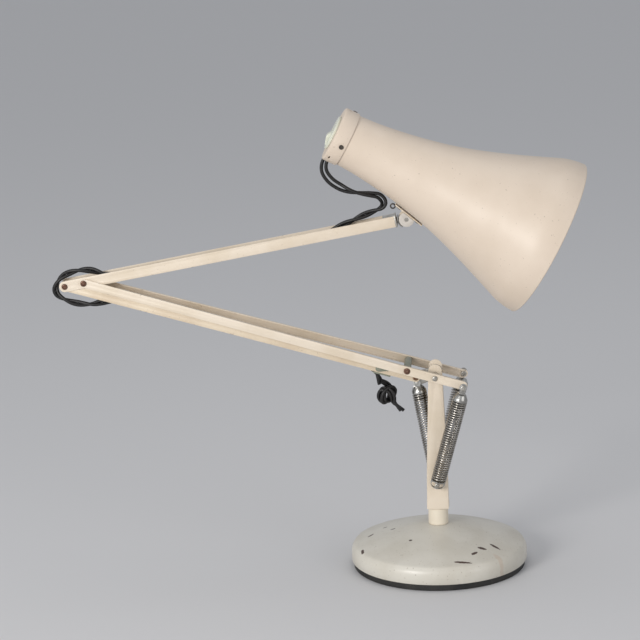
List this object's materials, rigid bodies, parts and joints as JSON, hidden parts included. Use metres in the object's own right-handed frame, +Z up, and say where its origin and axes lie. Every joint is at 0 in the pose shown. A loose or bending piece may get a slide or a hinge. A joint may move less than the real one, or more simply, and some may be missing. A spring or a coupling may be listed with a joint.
{
  "type": "architect desk lamp",
  "caption": "Spring-balanced desk lamp: round weighted base, turning post, two-part parallel-link arm and a bell-shaped shade on a tilting knuckle.",
  "frame": {"origin": "centre of the underside of the base", "axes": "+Z up, +X towards the side the shade points to, the arm folds in the XZ plane"},
  "size_m": [0.5418, 0.18, 0.4752],
  "materials": {
    "base_paint": "aged cream stove enamel with rust chips",
    "arm_paint": "aged cream enamel",
    "link_paint": "yellowed cream enamel",
    "shade_paint": "aged cream enamel, satin",
    "cast_iron": "as cast",
    "ring_rubber": "worn black",
    "felt": "pressed felt",
    "zinc_steel": "zinc plated, dull",
    "bright_steel": "bright plated",
    "spring_steel": "dark drawn spring wire",
    "grey_plastic": "grey-green nylon",
    "white_nylon": "dull white",
    "brown_steel": "browned steel",
    "hollow_rivet": "brown hollow rivet",
    "dark_steel": "blackened steel",
    "ivory_plastic": "ivory moulding",
    "bulb_brass": "plain",
    "bulb_glass": "pearl",
    "flex_pvc": "black twisted twin flex"
  },
  "bodies": {
    "base": {"base_cover": "base_paint", "base_weight": "cast_iron", "base_ring": "ring_rubber", "base_felt": "felt", "neck_bush": "base_paint"},
    "post": {"post": "arm_paint", "spindle": "zinc_steel", "spindle_nut": "zinc_steel", "anchor_pin": "zinc_steel", "pivot_pin": "zinc_steel", "pivot_spacers": "zinc_steel"},
    "lower_arm": {"front_bar": "arm_paint", "rear_bar": "arm_paint", "spacer_tube": "grey_plastic", "spacer_bolt": "brown_steel", "spring_pins": "zinc_steel"},
    "elbow_pin": {"elbow_pin": "brown_steel", "elbow_washers": "zinc_steel"},
    "upper_arm": {"upper_arm": "arm_paint", "knuckle_bush": "zinc_steel", "flex_upper_run": "flex_pvc"},
    "link_pin": {"link_pin": "brown_steel", "flex_elbow_top": "flex_pvc"},
    "link": {"link": "link_paint", "link_clip": "grey_plastic", "flex_lower_run": "flex_pvc", "flex_elbow_bottom": "flex_pvc", "flex_tail": "flex_pvc", "flex_knot": "flex_pvc", "flex_end": "flex_pvc"},
    "crank": {"crank": "zinc_steel", "crank_rivet": "hollow_rivet"},
    "knuckle": {"knuckle": "zinc_steel", "flex_head_return": "flex_pvc"},
    "head": {"shade": "shade_paint", "shade_cap": "shade_paint", "cap_screws": "dark_steel", "switch_plate": "ivory_plastic", "lampholder": "ivory_plastic", "holder_ring": "ivory_plastic", "bulb_cap": "bulb_brass", "bulb_glass": "bulb_glass", "shade_strap": "shade_paint", "strap_screws": "dark_steel", "cable_eyelet": "dark_steel", "tilt_disc": "white_nylon", "tilt_pin": "zinc_steel", "flex_head_loop": "flex_pvc"},
    "rocker": {"rocker": "ivory_plastic"},
    "front_spring_head": {"front_spring_head": "bright_steel", "front_spring_coil": "spring_steel"},
    "front_spring_foot": {"front_spring_foot": "bright_steel"},
    "rear_spring_head": {"rear_spring_head": "bright_steel", "rear_spring_coil": "spring_steel"},
    "rear_spring_foot": {"rear_spring_foot": "bright_steel"},
    "left_spring_head": {"left_spring_head": "bright_steel", "left_spring_coil": "spring_steel"},
    "left_spring_foot": {"left_spring_foot": "bright_steel"}
  },
  "joints": [
    {"name": "post_turn", "type": "hinge", "parent": "base", "child": "post", "pos_m": [0, 0, 0.0435], "axis": [0, 0, 1], "continuous": true},
    {"name": "lower_arm_lift", "type": "hinge", "parent": "post", "child": "lower_arm", "pos_m": [0, 0, 0.203], "axis": [0, 1, 0], "range_deg": [0, 50]},
    {"name": "elbow_level", "type": "hinge", "parent": "lower_arm", "child": "elbow_pin", "pos_m": [-0.35296, 0, 0.30354], "axis": [0, 1, 0], "range_deg": [-50, 0]},
    {"name": "upper_arm_lift", "type": "hinge", "parent": "elbow_pin", "child": "upper_arm", "pos_m": [-0.35296, 0, 0.30354], "axis": [0, -1, 0], "range_deg": [0, 40]},
    {"name": "link_pin_turn", "type": "hinge", "parent": "upper_arm", "child": "link_pin", "pos_m": [-0.37264, 0, 0.3], "axis": [0, -1, 0], "range_deg": [-40, 0], "deforming": ["flex_elbow_top"]},
    {"name": "link_turn", "type": "hinge", "parent": "link_pin", "child": "link", "pos_m": [-0.37264, 0, 0.3], "axis": [0, 1, 0], "range_deg": [0, 50], "deforming": ["flex_elbow_bottom"]},
    {"name": "crank_turn", "type": "hinge", "parent": "post", "child": "crank", "pos_m": [0, 0, 0.203], "axis": [0, -1, 0], "range_deg": [0, 40]},
    {"name": "head_turn", "type": "hinge", "parent": "upper_arm", "child": "knuckle", "pos_m": [-0.02522, 0, 0.36251], "axis": [0.9842, 0, 0.1771], "range_deg": [-45, 45], "deforming": ["flex_head_return"]},
    {"name": "head_tilt", "type": "hinge", "parent": "knuckle", "child": "head", "pos_m": [-0.02522, 0, 0.36251], "axis": [-0.0185, 0.9945, 0.1029], "range_deg": [-19, 30], "deforming": ["flex_head_loop"]},
    {"name": "switch_rock", "type": "hinge", "parent": "head", "child": "rocker", "pos_m": [-0.09747, -0.01002, 0.44638], "axis": [-0.0185, 0.9945, 0.1029], "range_deg": [-14, 0]},
    {"name": "front_spring_swing", "type": "hinge", "parent": "lower_arm", "child": "front_spring_head", "pos_m": [0.02837, -0.03365, 0.19492], "axis": [0, 1, 0], "range_deg": [-57.7, 0]},
    {"name": "front_spring_stretch", "type": "slide", "parent": "front_spring_head", "child": "front_spring_foot", "axis": [0.259, -0.1255, 0.9577], "range_m": [0, 0.0224], "deforming": ["front_spring_coil"]},
    {"name": "rear_spring_swing", "type": "hinge", "parent": "lower_arm", "child": "rear_spring_head", "pos_m": [0.02837, 0.03365, 0.19492], "axis": [0, 1, 0], "range_deg": [-57.7, 0]},
    {"name": "rear_spring_stretch", "type": "slide", "parent": "rear_spring_head", "child": "rear_spring_foot", "axis": [0.259, 0.1255, 0.9577], "range_m": [0, 0.0224], "deforming": ["rear_spring_coil"]},
    {"name": "left_spring_swing", "type": "hinge", "parent": "crank", "child": "left_spring_head", "pos_m": [-0.01855, 0, 0.19316], "axis": [0, -1, 0], "range_deg": [-45.9, 0]},
    {"name": "left_spring_stretch", "type": "slide", "parent": "left_spring_head", "child": "left_spring_foot", "axis": [-0.177, 0, 0.9842], "range_m": [0, 0.0114], "deforming": ["left_spring_coil"]}
  ],
  "couplings": [
    {"joint": "elbow_level", "follows": "lower_arm_lift", "ratio": -1},
    {"joint": "link_turn", "follows": "lower_arm_lift", "ratio": 1},
    {"joint": "link_pin_turn", "follows": "upper_arm_lift", "ratio": -1},
    {"joint": "crank_turn", "follows": "upper_arm_lift", "ratio": 1},
    {"joint": "front_spring_swing", "follows": "lower_arm_lift", "ratio": -1.1433},
    {"joint": "front_spring_stretch", "follows": "lower_arm_lift", "m_per_rad": 0.02515},
    {"joint": "rear_spring_swing", "follows": "lower_arm_lift", "ratio": -1.1433},
    {"joint": "rear_spring_stretch", "follows": "lower_arm_lift", "m_per_rad": 0.02515},
    {"joint": "left_spring_swing", "follows": "upper_arm_lift", "ratio": -1.1344},
    {"joint": "left_spring_stretch", "follows": "upper_arm_lift", "m_per_rad": 0.01568}
  ]
}
